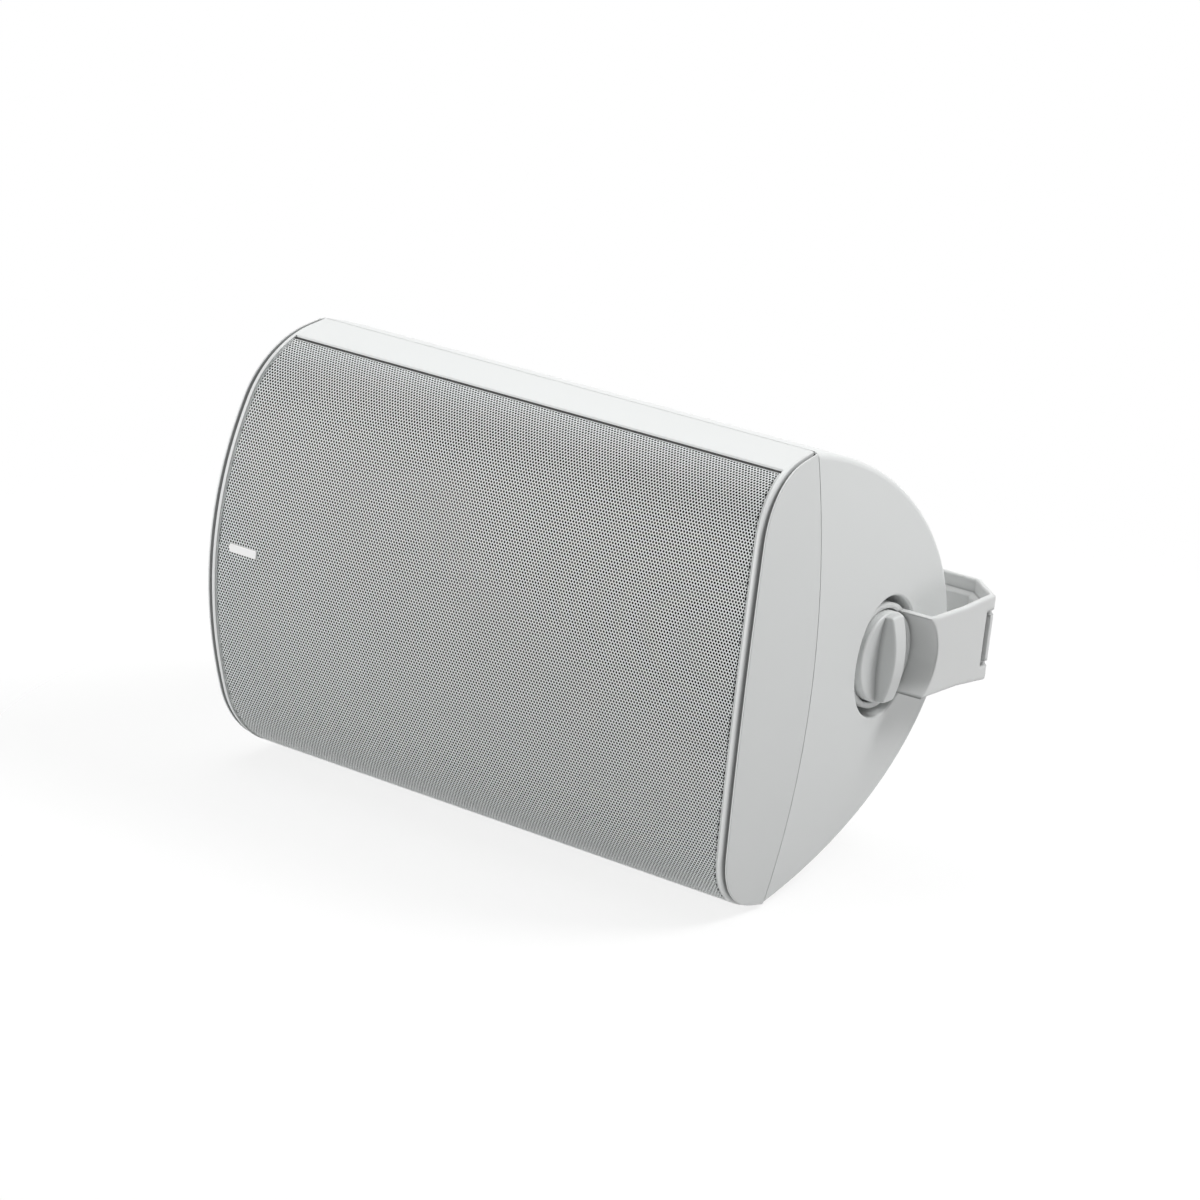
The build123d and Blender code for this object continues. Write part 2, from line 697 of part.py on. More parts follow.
# Pivot hardware: threaded insert and washer in each pocket, and a knob on its stud.
washer_top = pocket_floor + washer_thickness
eye_inner = washer_top + running_gap
eye_outer = eye_inner + eye_thickness
knob_base = eye_outer + running_gap
knob_top = knob_base + knob_rim
insert = pin(insert_radius, pocket_floor - insert_length, pocket_floor)
insert -= pin(stud_radius + stud_fit, -span, span)
nodes["pivot_inserts"] = Part() + list(both_sides(insert))
washer = pin(washer_radius, pocket_floor, washer_top) - pin(insert_radius, -span, span)
nodes["pivot_washers"] = Part() + list(both_sides(washer))
stud_end = pocket_floor - stud_reach
nodes["stud_right"], nodes["stud_left"] = both_sides(pin(stud_radius, stud_end, knob_base + knob_hub))
face_reach = knob_radius - 2 * knob_round
face_ball = (face_reach**2 + face_dip**2) / (2 * face_dip)
disc = pin(knob_radius, knob_base, knob_top)
disc = fillet(disc.edges().sort_by(Axis.X)[-1], knob_round)
disc -= Pos(knob_top - face_dip + face_ball, pivot_depth, 0) * Sphere(face_ball)
grip_top = knob_top + grip_height
grip_foot = grip_width / 2 + grip_draft
crown_radius = (knob_radius**2 + grip_fall**2) / (2 * grip_fall)
crown = Pos(grip_top - crown_radius, pivot_depth, 0) * Rot(90, 0, 0) * Cylinder(crown_radius, 4 * grip_width)
grip_plane = Plane(origin=(0, pivot_depth, 0), x_dir=(0, 1, 0), z_dir=(0, 0, -1))
grip_outline = Polyline(
    (-grip_foot, knob_base + knob_hub),
    (grip_foot, knob_base + knob_hub),
    (grip_width / 2, grip_top + 1),
    (-grip_width / 2, grip_top + 1),
    close=True,
)
grip = extrude(grip_plane * make_face(grip_outline), span, both=True)
grip &= crown & pin(knob_radius - grip_setback, knob_base + knob_hub, span)
end_rims = grip.edges().filter_by(lambda e: e.center().X > knob_top + 1 and e.length < 2 * grip_width)
grip = fillet(end_rims, grip_round)
long_rims = grip.edges().filter_by(lambda e: e.center().X > knob_top + 1 and e.length > 2 * grip_width)
grip = fillet(long_rims, grip_round)
knob = disc + grip - pin(stud_radius, 0, knob_base + knob_hub)
nodes["knob_right"], nodes["knob_left"] = both_sides(knob)

# Wall bracket: two arms with dished eyes, chamfered corners and a stiffened back span.
corner_y = pivot_depth + corner_start
back_half = arm_height / 2 + flare_rise
outline = [
    (arm_outside, pivot_depth),
    (arm_outside, corner_y),
    (arm_outside - corner_width, wall_depth),
]
outline += [(-x, y) for x, y in reversed(outline)]
bracket_plan = make_face(Polyline(*outline, close=True))
inner_plan = offset(bracket_plan, -arm_sheet, kind=Kind.INTERSECTION)
front_cut = Pos(0, pivot_depth) * Rectangle(2 * (arm_outside - arm_sheet), 4 * arm_sheet)
arms = extrude(bracket_plan - inner_plan - front_cut, back_half, both=True)
flare_outline = Polyline(
    (0, arm_height / 2),
    (pivot_depth + flare_start, arm_height / 2),
    (corner_y, back_half),
    (corner_y, 2 * back_half),
    (0, 2 * back_half),
    close=True,
)
flare_cut = extrude(Plane.YZ * make_face(flare_outline), span, both=True)
arms = arms - flare_cut - mirror(flare_cut, Plane.XY)
rim_edges = arms.edges().filter_by(lambda e: abs(e.center().Z) > arm_height / 2 - 0.01)
arms = fillet(rim_edges.filter_by(lambda e: e.length > 2 * arm_sheet), bracket_round)
panel_half = back_half - pad_border
back_strip = Pos(0, (corner_y + wall_depth) / 2) * Rectangle(2 * arm_outside, wall_depth - corner_y)


def panel_plan(rise):
    """The raised panel's plan, standing forward of the back span's sheet."""
    sheet_middle = offset(bracket_plan, -arm_sheet / 2, kind=Kind.INTERSECTION)
    return (sheet_middle - offset(bracket_plan, -arm_sheet - rise, kind=Kind.INTERSECTION)) & back_strip


panel = extrude(panel_plan(pad_rise), panel_half - pad_bevel, both=True)
panel_foot = Pos(0, 0, panel_half - pad_bevel) * panel_plan(pad_rise)
panel_edge = Pos(0, 0, panel_half) * panel_plan(pad_rise - pad_bevel)
bevel = loft([panel_foot.face(), panel_edge.face()], ruled=True)
panel += bevel
panel += mirror(bevel, Plane.XY)
bracket = arms + panel
notch_y = corner_y - notch_setback
notch_foot = arm_outside - notch_depth
notch_half = notch_length / 2
notch_sides = (notch_y - notch_width / 2, notch_y + notch_width / 2)
notch = block(notch_foot, arm_outside, *notch_sides, -notch_half, notch_half)
notch += block(notch_foot, arm_outside, notch_y, wall_depth, notch_half - slit_height, notch_half)
notch += block(notch_foot, arm_outside, notch_y, wall_depth, -notch_half, slit_height - notch_half)
for cut in both_sides(notch):
    bracket -= cut
ring_top = eye_outer + eye_rise
dish_top = dish_radius + dish_flare
dish_axis = Pos(eye_inner, pivot_depth, 0) * Rot(0, 90, 0)
dish_length = arm_outside - eye_inner
dish_align = (Align.CENTER, Align.CENTER, Align.MIN)
dish_void = dish_axis * Cone(dish_radius, dish_top, dish_length, align=dish_align)
dish_shell = dish_axis * Cone(dish_radius + arm_sheet, dish_top + arm_sheet, dish_length, align=dish_align)
rear_band = block(0, span, pivot_depth + dish_radius / 3, wall_depth, -arm_height / 2, arm_height / 2)
dish_rim = (dish_shell - dish_void) & rear_band
eye = pin(eye_radius, eye_inner, ring_top) - pin(dish_radius, eye_outer, span) - pin(eye_bore, 0, span)
for void, rim, ring in zip(both_sides(dish_void), both_sides(dish_rim), both_sides(eye)):
    bracket = bracket - void + rim + ring
slot_plane = Plane(origin=(0, wall_depth, 0), x_dir=(1, 0, 0), z_dir=(0, -1, 0))
slot_tool = extrude(slot_plane * SlotOverall(slot_length, slot_width), 4 * arm_sheet, both=True)
for side in (-1, 1):
    bracket -= Pos(side * slot_spacing / 2, 0, 0) * slot_tool
nodes["wall_bracket"] = bracket

os.makedirs("parts", exist_ok=True)
for name, piece in nodes.items():
    export_step(Pos(0, -wall_depth, 0) * piece, f"parts/{name}.step")
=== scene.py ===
from math import asin, cos, floor, pi, radians, sin, sqrt

import bmesh
import bpy
from mathutils import Matrix, Vector


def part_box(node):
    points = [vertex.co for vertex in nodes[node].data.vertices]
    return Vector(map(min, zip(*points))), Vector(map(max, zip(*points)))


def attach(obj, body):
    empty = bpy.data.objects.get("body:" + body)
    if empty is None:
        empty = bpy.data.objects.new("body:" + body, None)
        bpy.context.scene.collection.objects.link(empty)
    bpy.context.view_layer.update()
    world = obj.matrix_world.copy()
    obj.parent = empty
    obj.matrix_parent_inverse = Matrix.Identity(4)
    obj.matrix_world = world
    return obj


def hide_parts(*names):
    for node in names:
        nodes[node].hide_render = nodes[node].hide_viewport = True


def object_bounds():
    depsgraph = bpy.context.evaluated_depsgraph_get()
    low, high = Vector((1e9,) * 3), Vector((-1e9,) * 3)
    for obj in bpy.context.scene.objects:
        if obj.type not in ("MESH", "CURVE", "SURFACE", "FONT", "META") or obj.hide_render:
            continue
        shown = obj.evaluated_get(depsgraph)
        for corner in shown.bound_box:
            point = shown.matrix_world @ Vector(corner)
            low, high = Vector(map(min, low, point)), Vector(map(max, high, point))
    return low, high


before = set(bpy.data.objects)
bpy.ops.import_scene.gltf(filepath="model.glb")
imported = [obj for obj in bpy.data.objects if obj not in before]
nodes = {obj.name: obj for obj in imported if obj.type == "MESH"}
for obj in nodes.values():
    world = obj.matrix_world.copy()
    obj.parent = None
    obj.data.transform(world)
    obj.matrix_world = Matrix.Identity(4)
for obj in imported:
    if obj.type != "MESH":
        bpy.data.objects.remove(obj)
cad_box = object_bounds()
scene = bpy.context.scene
scene.view_settings.view_transform = "Standard"

# Camera: a long lens above and to the right of the speaker, rolled a little because
# the cabinet leans on its front edge while the model stands square to its bracket.
camera_place = Vector((1.1352, -1.7862, 0.5823))
camera_right = Vector((0.80463, 0.58446, 0.10477))
camera_up = Vector((-0.24726, 0.16939, 0.95403))
camera_data = bpy.data.cameras.new("photo_camera")
camera_data.sensor_width = 36.0
camera_data.lens = 121.69
camera = bpy.data.objects.new("photo_camera", camera_data)
scene.collection.objects.link(camera)
camera_turn = Matrix((camera_right, camera_up, camera_right.cross(camera_up))).transposed()
camera.matrix_world = Matrix.Translation(camera_place) @ camera_turn.to_4x4()
scene.camera = camera


# Floor: a wide pale sheet of thin paper just under the cabinet's lowest edge. It keeps
# the shadow, shows what dips below it and thins out into the white room.
def new_material(name):
    """A material with its node tree, shader and object coordinates ready to link."""
    material = bpy.data.materials.new(name)
    material.use_nodes = True
    tree = material.node_tree
    place = tree.nodes.new("ShaderNodeTexCoord")
    return material, tree, tree.nodes["Principled BSDF"], place.outputs["Object"]


def seen_rays(tree):
    """1 for rays from the camera, a reflection or a clear piece, and 0 for the rest."""
    rays = tree.nodes.new("ShaderNodeLightPath").outputs
    seen = rays["Is Camera Ray"]
    for name in ("Is Glossy Ray", "Is Transmission Ray"):
        either = tree.nodes.new("ShaderNodeMath")
        either.operation = "MAXIMUM"
        tree.links.new(seen, either.inputs[0])
        tree.links.new(rays[name], either.inputs[1])
        seen = either.outputs[0]
    return seen


floor_drop = 0.0015  # the cabinet's lowest edge to the paper
floor_reach = 9.0
paper_white = (0.55, 0.55, 0.55, 1)
paper_glow = 0.52
paper_veil = 0.59  # how clear the paper is beside the cabinet
paper_near, paper_far = 0.28, 0.75  # it thins out between these distances
floor_z = cad_box[0][2] - floor_drop
paper_middle = (0.05, -0.10, floor_z)
floor_mesh = bpy.data.meshes.new("floor")
floor_corners = [(-floor_reach, -floor_reach), (floor_reach, -floor_reach)]
floor_corners += [(floor_reach, floor_reach), (-floor_reach, floor_reach)]
floor_mesh.from_pydata([(x, y, floor_z) for x, y in floor_corners], [], [(0, 1, 2, 3)])
floor_sheet = bpy.data.objects.new("floor", floor_mesh)
scene.collection.objects.link(floor_sheet)
paper, tree, shader, place = new_material("floor_paper")
shader.inputs["Base Color"].default_value = paper_white
shader.inputs["Roughness"].default_value = 0.9
shader.inputs["Specular IOR Level"].default_value = 0.1
shader.inputs["Emission Color"].default_value = (1, 1, 1, 1)
seen = seen_rays(tree)
glow = tree.nodes.new("ShaderNodeMath")
glow.operation = "MULTIPLY"
glow.inputs[1].default_value = paper_glow
away = tree.nodes.new("ShaderNodeVectorMath")
away.operation = "DISTANCE"
away.inputs[1].default_value = paper_middle
fade = tree.nodes.new("ShaderNodeMapRange")
fade.interpolation_type = "SMOOTHSTEP"
fade.inputs["From Min"].default_value = paper_near
fade.inputs["From Max"].default_value = paper_far
fade.inputs["To Min"].default_value = paper_veil
bleach = tree.nodes.new("ShaderNodeMath")
bleach.operation = "MULTIPLY"
clear = tree.nodes.new("ShaderNodeBsdfTransparent")
sheet = tree.nodes.new("ShaderNodeMixShader")
tree.links.new(seen, glow.inputs[0])
tree.links.new(glow.outputs[0], shader.inputs["Emission Strength"])
tree.links.new(place, away.inputs[0])
tree.links.new(away.outputs["Value"], fade.inputs["Value"])
tree.links.new(fade.outputs["Result"], bleach.inputs[0])
tree.links.new(seen, bleach.inputs[1])
tree.links.new(bleach.outputs[0], sheet.inputs["Fac"])
tree.links.new(shader.outputs[0], sheet.inputs[1])
tree.links.new(clear.outputs[0], sheet.inputs[2])
tree.links.new(sheet.outputs[0], tree.nodes["Material Output"].inputs["Surface"])
floor_mesh.materials.append(paper)

# Light: an even white room, a large soft box overhead to the left, one in front to the
# left of the grille and one high behind on the right, as for a product on white paper.
room_light = 0.26  # for rays that don't show the room itself
world = bpy.data.worlds.new("white_room")
scene.world = world
world.use_nodes = True
tree = world.node_tree
background = tree.nodes["Background"]
background.inputs["Color"].default_value = (1, 1, 1, 1)
strength = tree.nodes.new("ShaderNodeMapRange")
strength.inputs["To Min"].default_value = room_light
strength.inputs["To Max"].default_value = 1.0
tree.links.new(seen_rays(tree), strength.inputs["Value"])
tree.links.new(strength.outputs["Result"], background.inputs["Strength"])


def soft_box(name, place, aim, size, watts):
    """A square studio lamp at a place, turned to a point."""
    lamp = bpy.data.lights.new(name, "AREA")
    lamp.shape = "SQUARE"
    lamp.size = size
    lamp.energy = watts
    box = bpy.data.objects.new(name, lamp)
    box.location = place
    box.rotation_euler = (Vector(aim) - Vector(place)).to_track_quat("-Z", "Y").to_euler()
    scene.collection.objects.link(box)


soft_box("top_box", place=(-0.7, 0.1, 1.8), aim=(0.0, -0.15, 0.0), size=1.4, watts=11)
soft_box("front_box", place=(-0.8, -1.9, 0.35), aim=(0.0, -0.15, 0.0), size=1.2, watts=22)
soft_box("right_box", place=(1.2, 0.9, 1.8), aim=(0.1, -0.15, 0.0), size=1.0, watts=36)


# Front frame and rear cabinet: two moulded shells of white weatherproof resin with a
# fine satin grain, screwed together on a rubber seal along the parting line.
def mixed(tree, factor, low, high):
    """A colour socket that goes from low to high, each a socket or three numbers."""
    blend = tree.nodes.new("ShaderNodeMix")
    blend.data_type = "RGBA"
    # A mix node keeps its colours in inputs 6 and 7 and gives the result in output 2.
    for socket, colour in ((blend.inputs[6], low), (blend.inputs[7], high)):
        if isinstance(colour, bpy.types.NodeSocket):
            tree.links.new(colour, socket)
        else:
            socket.default_value = (*colour, 1)
    tree.links.new(factor, blend.inputs["Factor"])
    return blend.outputs[2]


def grained(
    name, light, dark, roughness, grain, depth, metallic=0.0, spread=0.06, edge=0.0, painted_shade_reach=0.0
):
    """A finish mottled between two near colours, with a fine bump of the given grain size.
    Edges are softened over a width, and creases and recesses within a distance are darkened towards
    grey as painted shade."""
    material, tree, shader, place = new_material(name)
    cloud = tree.nodes.new("ShaderNodeTexNoise")
    cloud.inputs["Scale"].default_value = 12.0
    cloud.inputs["Detail"].default_value = 5.0
    polish = tree.nodes.new("ShaderNodeMapRange")
    polish.inputs["To Min"].default_value = roughness - spread
    polish.inputs["To Max"].default_value = roughness + spread
    speck = tree.nodes.new("ShaderNodeTexNoise")
    speck.inputs["Scale"].default_value = 1.0 / grain
    speck.inputs["Detail"].default_value = 2.0
    bump = tree.nodes.new("ShaderNodeBump")
    bump.inputs["Strength"].default_value = 0.35
    bump.inputs["Distance"].default_value = depth
    shader.inputs["Metallic"].default_value = metallic
    colour = mixed(tree, cloud.outputs["Fac"], dark, light)
    if edge:
        soft_edge = tree.nodes.new("ShaderNodeBevel")
        soft_edge.samples = 6
        soft_edge.inputs["Radius"].default_value = edge
        tree.links.new(soft_edge.outputs["Normal"], bump.inputs["Normal"])
    if painted_shade_reach:
        # Painted shade: an occlusion mask within the reach darkens creases, grooves and recesses
        # towards grey, where shade falls.
        painted_shade_ao = tree.nodes.new("ShaderNodeAmbientOcclusion")
        painted_shade_ao.samples = 16
        painted_shade_ao.only_local = True
        painted_shade_ao.inputs["Distance"].default_value = painted_shade_reach
        painted_shade_grey = (0.30, 0.305, 0.305)
        colour = mixed(tree, painted_shade_ao.outputs["AO"], painted_shade_grey, colour)
    tree.links.new(place, cloud.inputs["Vector"])
    tree.links.new(place, speck.inputs["Vector"])
    tree.links.new(cloud.outputs["Fac"], polish.inputs["Value"])
    tree.links.new(speck.outputs["Fac"], bump.inputs["Height"])
    tree.links.new(colour, shader.inputs["Base Color"])
    tree.links.new(polish.outputs["Result"], shader.inputs["Roughness"])
    tree.links.new(bump.outputs["Normal"], shader.inputs["Normal"])
    return material


def dress(material, *names):
    """Gives nodes of the frame their finish."""
    for name in names:
        nodes[name].data.materials.clear()
        nodes[name].data.materials.append(material)


# The resin gets painted shade in its grooves and recesses, such as the groove beside the grille's
# bead.
white_resin = grained(
    "white_resin", (0.80, 0.815, 0.81), (0.775, 0.79, 0.785),
    roughness=0.42, grain=0.0006, depth=0.00006, edge=0.0007, painted_shade_reach=0.003,
)
# Black rubber for the cabinet gasket and the grille seal; at the grille's edge its black also
# stands for painted shade in the gap.
black_seal_and_painted_gap_shade = grained(
    "black_seal_and_painted_gap_shade", (0.03, 0.03, 0.03), (0.02, 0.02, 0.02),
    roughness=0.7, grain=0.0008, depth=0.0001,
)
dress(white_resin, "front_frame", "rear_cabinet")
dress(black_seal_and_painted_gap_shade, "cabinet_gasket")

# Grille: thin steel sheet perforated with staggered round holes, rolled over the front
# of the frame on a black seal, whose black also paints the shade in the gap at the
# grille's edge, and powder coated white. It is made in runs of equal width, each a
# field of hexagonal cells.
hole_pitch = 0.00172
hole_width = 0.00128
sheet_thickness = 0.0002
sheet_runs = 6
weld_gap = 0.00005  # cells this near to each other are joined
edge_margin = 0.55  # middle of the last holes to the barrel end, in pitches
front_radius = 0.2997
bend_radius = 0.0477
crown_turn = radians(15.302)
end_radius = 0.5306
end_peak = 0.1622
sheet_low, sheet_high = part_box("grille")
end_centre = end_peak - end_radius
front_middle = sheet_low[1] + front_radius
bend_depth = front_middle - (front_radius - bend_radius) * cos(crown_turn)
bend_height = (front_radius - bend_radius) * sin(crown_turn)
crown_length = front_radius * crown_turn
edge_turn = pi / 2 - asin((bend_depth - sheet_high[1]) / bend_radius)
half_width = crown_length + bend_radius * (edge_turn - crown_turn)
row_pitch = hole_pitch * sqrt(3) / 2
rows = 2 * floor((half_width - row_pitch / 2) / row_pitch) + 1
columns = 2 * floor(end_peak / hole_pitch) + 1


def step(tree, kind, *feeds, **settings):
    """Adds a node with its settings, feeds its inputs in order and returns its first output."""
    node = tree.nodes.new(kind)
    for key, value in settings.items():
        setattr(node, key, value)
    for socket, feed in zip(node.inputs, feeds):
        if isinstance(feed, bpy.types.NodeSocket):
            tree.links.new(feed, socket)
        elif feed is not None:
            socket.default_value = feed
    return node.outputs[0]


def calc(tree, operation, *feeds):
    """One step of arithmetic in a node tree."""
    return step(tree, "ShaderNodeMath", *feeds, operation=operation)


def split(tree, vector):
    """The three parts of a vector socket."""
    node = tree.nodes.new("ShaderNodeSeparateXYZ")
    tree.links.new(vector, node.inputs[0])
    return node.outputs


def rolled(tree, size, along, lift):
    """Depth and height of a point on the rolled sheet, from its distance along and its lift."""
    run = calc(tree, "ABSOLUTE", along)
    side = calc(tree, "SIGN", along)
    past = calc(tree, "GREATER_THAN", run, size["Crown Length"])
    over = calc(tree, "SUBTRACT", run, size["Crown Length"])
    crown_angle = calc(tree, "DIVIDE", run, size["Front Radius"])
    bend_angle = calc(tree, "DIVIDE", over, size["Bend Radius"])
    bend_angle = calc(tree, "ADD", bend_angle, size["Crown Turn"])

    def either(crown, bend):
        return step(tree, "GeometryNodeSwitch", past, crown, bend, input_type="FLOAT")

    angle = either(crown_angle, bend_angle)
    radius = calc(tree, "ADD", either(size["Front Radius"], size["Bend Radius"]), lift)
    across = calc(tree, "MULTIPLY", radius, calc(tree, "COSINE", angle))
    depth = calc(tree, "SUBTRACT", either(size["Front Middle"], size["Bend Depth"]), across)
    up = calc(tree, "MULTIPLY", radius, calc(tree, "SINE", angle))
    height = calc(tree, "ADD", either(0.0, size["Bend Height"]), up)
    return depth, calc(tree, "MULTIPLY", height, side)


def perforated_sheet():
    """Nodes that lay cells on a staggered grid, trim them to the barrel ends and roll the sheet."""
    tree = bpy.data.node_groups.new("perforated_sheet", "GeometryNodeTree")
    lengths = ["Pitch", "Row Pitch", "Start", "Trim", "Weld", "Front Radius", "Bend Radius"]
    lengths += ["Crown Turn", "Crown Length", "Front Middle", "Bend Depth", "Bend Height"]
    lengths += ["End Radius", "End Centre"]
    inputs = [("Cell", "NodeSocketGeometry")]
    inputs += [(name, "NodeSocketFloat") for name in lengths]
    inputs += [("Columns", "NodeSocketInt"), ("Rows", "NodeSocketInt")]
    inputs += [("Coat", "NodeSocketMaterial")]
    for name, kind in inputs:
        tree.interface.new_socket(name=name, in_out="INPUT", socket_type=kind)
    tree.interface.new_socket(name="Sheet", in_out="OUTPUT", socket_type="NodeSocketGeometry")
    size = tree.nodes.new("NodeGroupInput").outputs

    # A grid of points, with every second row moved by half a pitch.
    wide = calc(tree, "MULTIPLY", calc(tree, "SUBTRACT", size["Columns"], 1.0), size["Pitch"])
    half_rows = calc(tree, "DIVIDE", calc(tree, "SUBTRACT", size["Rows"], 1.0), 2.0)
    tall = calc(tree, "MULTIPLY", calc(tree, "MULTIPLY", half_rows, 2.0), size["Row Pitch"])
    field = step(tree, "GeometryNodeMeshGrid", wide, tall, size["Columns"], size["Rows"])
    spot = split(tree, step(tree, "GeometryNodeInputPosition"))
    row = calc(tree, "ADD", calc(tree, "DIVIDE", spot[1], size["Row Pitch"]), half_rows)
    odd_row = calc(tree, "MODULO", calc(tree, "ROUND", row), 2.0)
    stagger = calc(tree, "SUBTRACT", calc(tree, "MULTIPLY", odd_row, 0.5), 0.25)
    shift = calc(tree, "ADD", calc(tree, "MULTIPLY", stagger, size["Pitch"]), size["Start"])
    shift = calc(tree, "ADD", shift, calc(tree, "DIVIDE", wide, 2.0))
    sideways = step(tree, "ShaderNodeCombineXYZ", shift)
    field = step(tree, "GeometryNodeSetPosition", field, None, None, sideways)

    # Points past the barrel ends are dropped.
    spot = split(tree, step(tree, "GeometryNodeInputPosition"))
    height = rolled(tree, size, spot[1], 0.0)[1]
    end_square = calc(tree, "POWER", size["End Radius"], 2.0)
    chord = calc(tree, "SUBTRACT", end_square, calc(tree, "POWER", height, 2.0))
    end = calc(tree, "ADD", calc(tree, "SQRT", chord), size["End Centre"])
    end = calc(tree, "SUBTRACT", end, size["Trim"])
    reach = calc(tree, "ABSOLUTE", spot[0])
    outside = step(tree, "FunctionNodeCompare", reach, end, operation="GREATER_THAN")
    field = step(tree, "GeometryNodeDeleteGeometry", field, outside)

    # A cell on each point, joined to its neighbours and rolled.
    cells = step(tree, "GeometryNodeInstanceOnPoints", field, None, size["Cell"])
    sheet = step(tree, "GeometryNodeRealizeInstances", cells)
    sheet = step(tree, "GeometryNodeMergeByDistance", sheet, None, size["Weld"])
    spot = split(tree, step(tree, "GeometryNodeInputPosition"))
    depth, height = rolled(tree, size, spot[1], spot[2])
    rolled_place = step(tree, "ShaderNodeCombineXYZ", spot[0], depth, height)
    sheet = step(tree, "GeometryNodeSetPosition", sheet, None, rolled_place)
    sheet = step(tree, "GeometryNodeSetMaterial", sheet, None, size["Coat"])
    result = tree.nodes.new("NodeGroupOutput")
    tree.links.new(sheet, result.inputs[0])
    return tree


def hole_cell():
    """One hexagonal cell of the sheet around its hole, with the hole's wall."""
    mesh = bpy.data.meshes.new("hole_cell")
    sides = 6
    turns = [pi / 6 + i * pi / 3 for i in range(sides)]
    corner = hole_pitch / sqrt(3)
    edge = hole_width / 2 * sqrt(2 * pi / (3 * sqrt(3)))  # a hexagon as large as the round hole
    points = []
    for radius, drop in ((corner, 0.0), (edge, 0.0), (edge, -sheet_thickness)):
        points += [(radius * cos(turn), radius * sin(turn), drop) for turn in turns]
    faces = []
    for ring in (0, sides):
        for i in range(sides):
            a, b = ring + i, ring + (i + 1) % sides
            faces.append((a, b, b + sides, a + sides))
    mesh.from_pydata(points, [], faces)
    return mesh


def make_plain(piece):
    """Turns the evaluated shape of a piece into its plain mesh and takes its modifiers off."""
    graph = bpy.context.evaluated_depsgraph_get()
    mesh = bpy.data.meshes.new_from_object(piece.evaluated_get(graph))
    mesh.name = piece.name
    piece.modifiers.clear()
    piece.data = mesh


grille_coat = grained(
    "grille_coat", (0.81, 0.835, 0.83), (0.78, 0.805, 0.80),
    roughness=0.45, grain=0.0004, depth=0.00003,
)
sheet_tree = perforated_sheet()
sheet_sizes = {
    "Pitch": hole_pitch,
    "Row Pitch": row_pitch,
    "Trim": hole_pitch * edge_margin,
    "Weld": weld_gap,
    "Front Radius": front_radius,
    "Bend Radius": bend_radius,
    "Crown Turn": crown_turn,
    "Crown Length": crown_length,
    "Front Middle": front_middle,
    "Bend Depth": bend_depth,
    "Bend Height": bend_height,
    "End Radius": end_radius,
    "End Centre": end_centre,
    "Rows": rows,
    "Coat": grille_coat,
}
cell = hole_cell()
for run in range(sheet_runs):
    first = columns * run // sheet_runs
    last = columns * (run + 1) // sheet_runs
    sheet_sizes["Columns"] = last - first
    sheet_sizes["Start"] = (first - (columns - 1) / 2) * hole_pitch
    sheet = bpy.data.objects.new(f"grille_sheet_{run + 1}", cell)
    scene.collection.objects.link(sheet)
    roll = sheet.modifiers.new("roll", "NODES")
    roll.node_group = sheet_tree
    for socket in sheet_tree.interface.items_tree:
        if socket.in_out == "INPUT" and socket.name in sheet_sizes:
            roll[socket.identifier] = sheet_sizes[socket.name]
    make_plain(sheet)
    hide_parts("grille")
    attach(sheet, "cabinet")
# The black of the seal under the grille's edge is partly a real seal and partly painted shade in
# the gap between the grille and the side strips.
dress(black_seal_and_painted_gap_shade, "grille_seal")


# Grille hem: the coated edge of the sheet, turned back at the barrel ends and along the
# side strips so that no cut edge shows.
def on_sheet(along, lift):
    """Depth and height of a point on the rolled sheet."""
    side = 1 if along >= 0 else -1
    run = abs(along)
    if run <= crown_length:
        angle = run / front_radius
        radius = front_radius + lift
        return front_middle - radius * cos(angle), side * radius * sin(angle)
    angle = crown_turn + (run - crown_length) / bend_radius
    radius = bend_radius + lift
    return bend_depth - radius * cos(angle), side * (bend_height + radius * sin(angle))


def sheet_end(along):
    """Half length of the sheet at a distance along its roll."""
    return end_centre + sqrt(end_radius**2 - on_sheet(along, 0.0)[1] ** 2)


hem_width = 0.0005
hem_lift = 0.00006  # the hem stands this far above the sheet
hem_return = 0.003
hem_round = 0.0003
hem_steps = 96
hem_profile = [(hem_width, 0.0), (hem_width, hem_lift), (hem_round, hem_lift)]
hem_profile += [(0.0, hem_lift - hem_round), (0.0, -hem_return)]
hem_mesh = bpy.data.meshes.new("grille_hem")
hem_points = []
hem_faces = []
for side in (-1, 1):
    base = len(hem_points)
    for i in range(hem_steps + 1):
        along = half_width * (2 * i / hem_steps - 1)
        for inward, lift in hem_profile:
            depth, height = on_sheet(along, lift)
            hem_points.append((side * (sheet_end(along) - inward), depth, height))
    for i in range(hem_steps):
        for j in range(len(hem_profile) - 1):
            a = base + i * len(hem_profile) + j
            b = a + len(hem_profile)
            hem_faces.append((a, b, b + 1, a + 1))
    base = len(hem_points)
    for end in (-1, 1):
        for lift in (0.0, -hem_return):
            depth, height = on_sheet(side * half_width, lift)
            hem_points.append((end * (sheet_end(half_width) - hem_round), depth, height))
    hem_faces.append((base, base + 2, base + 3, base + 1))
hem_mesh.from_pydata(hem_points, [], hem_faces)
hem_mesh.materials.append(grille_coat)
hem = bpy.data.objects.new("grille_hem", hem_mesh)
scene.collection.objects.link(hem)
shape = bmesh.new()
shape.from_mesh(hem_mesh)
bmesh.ops.recalc_face_normals(shape, faces=shape.faces)
shape.to_mesh(hem_mesh)
shape.free()
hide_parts("grille")
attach(hem, "cabinet")


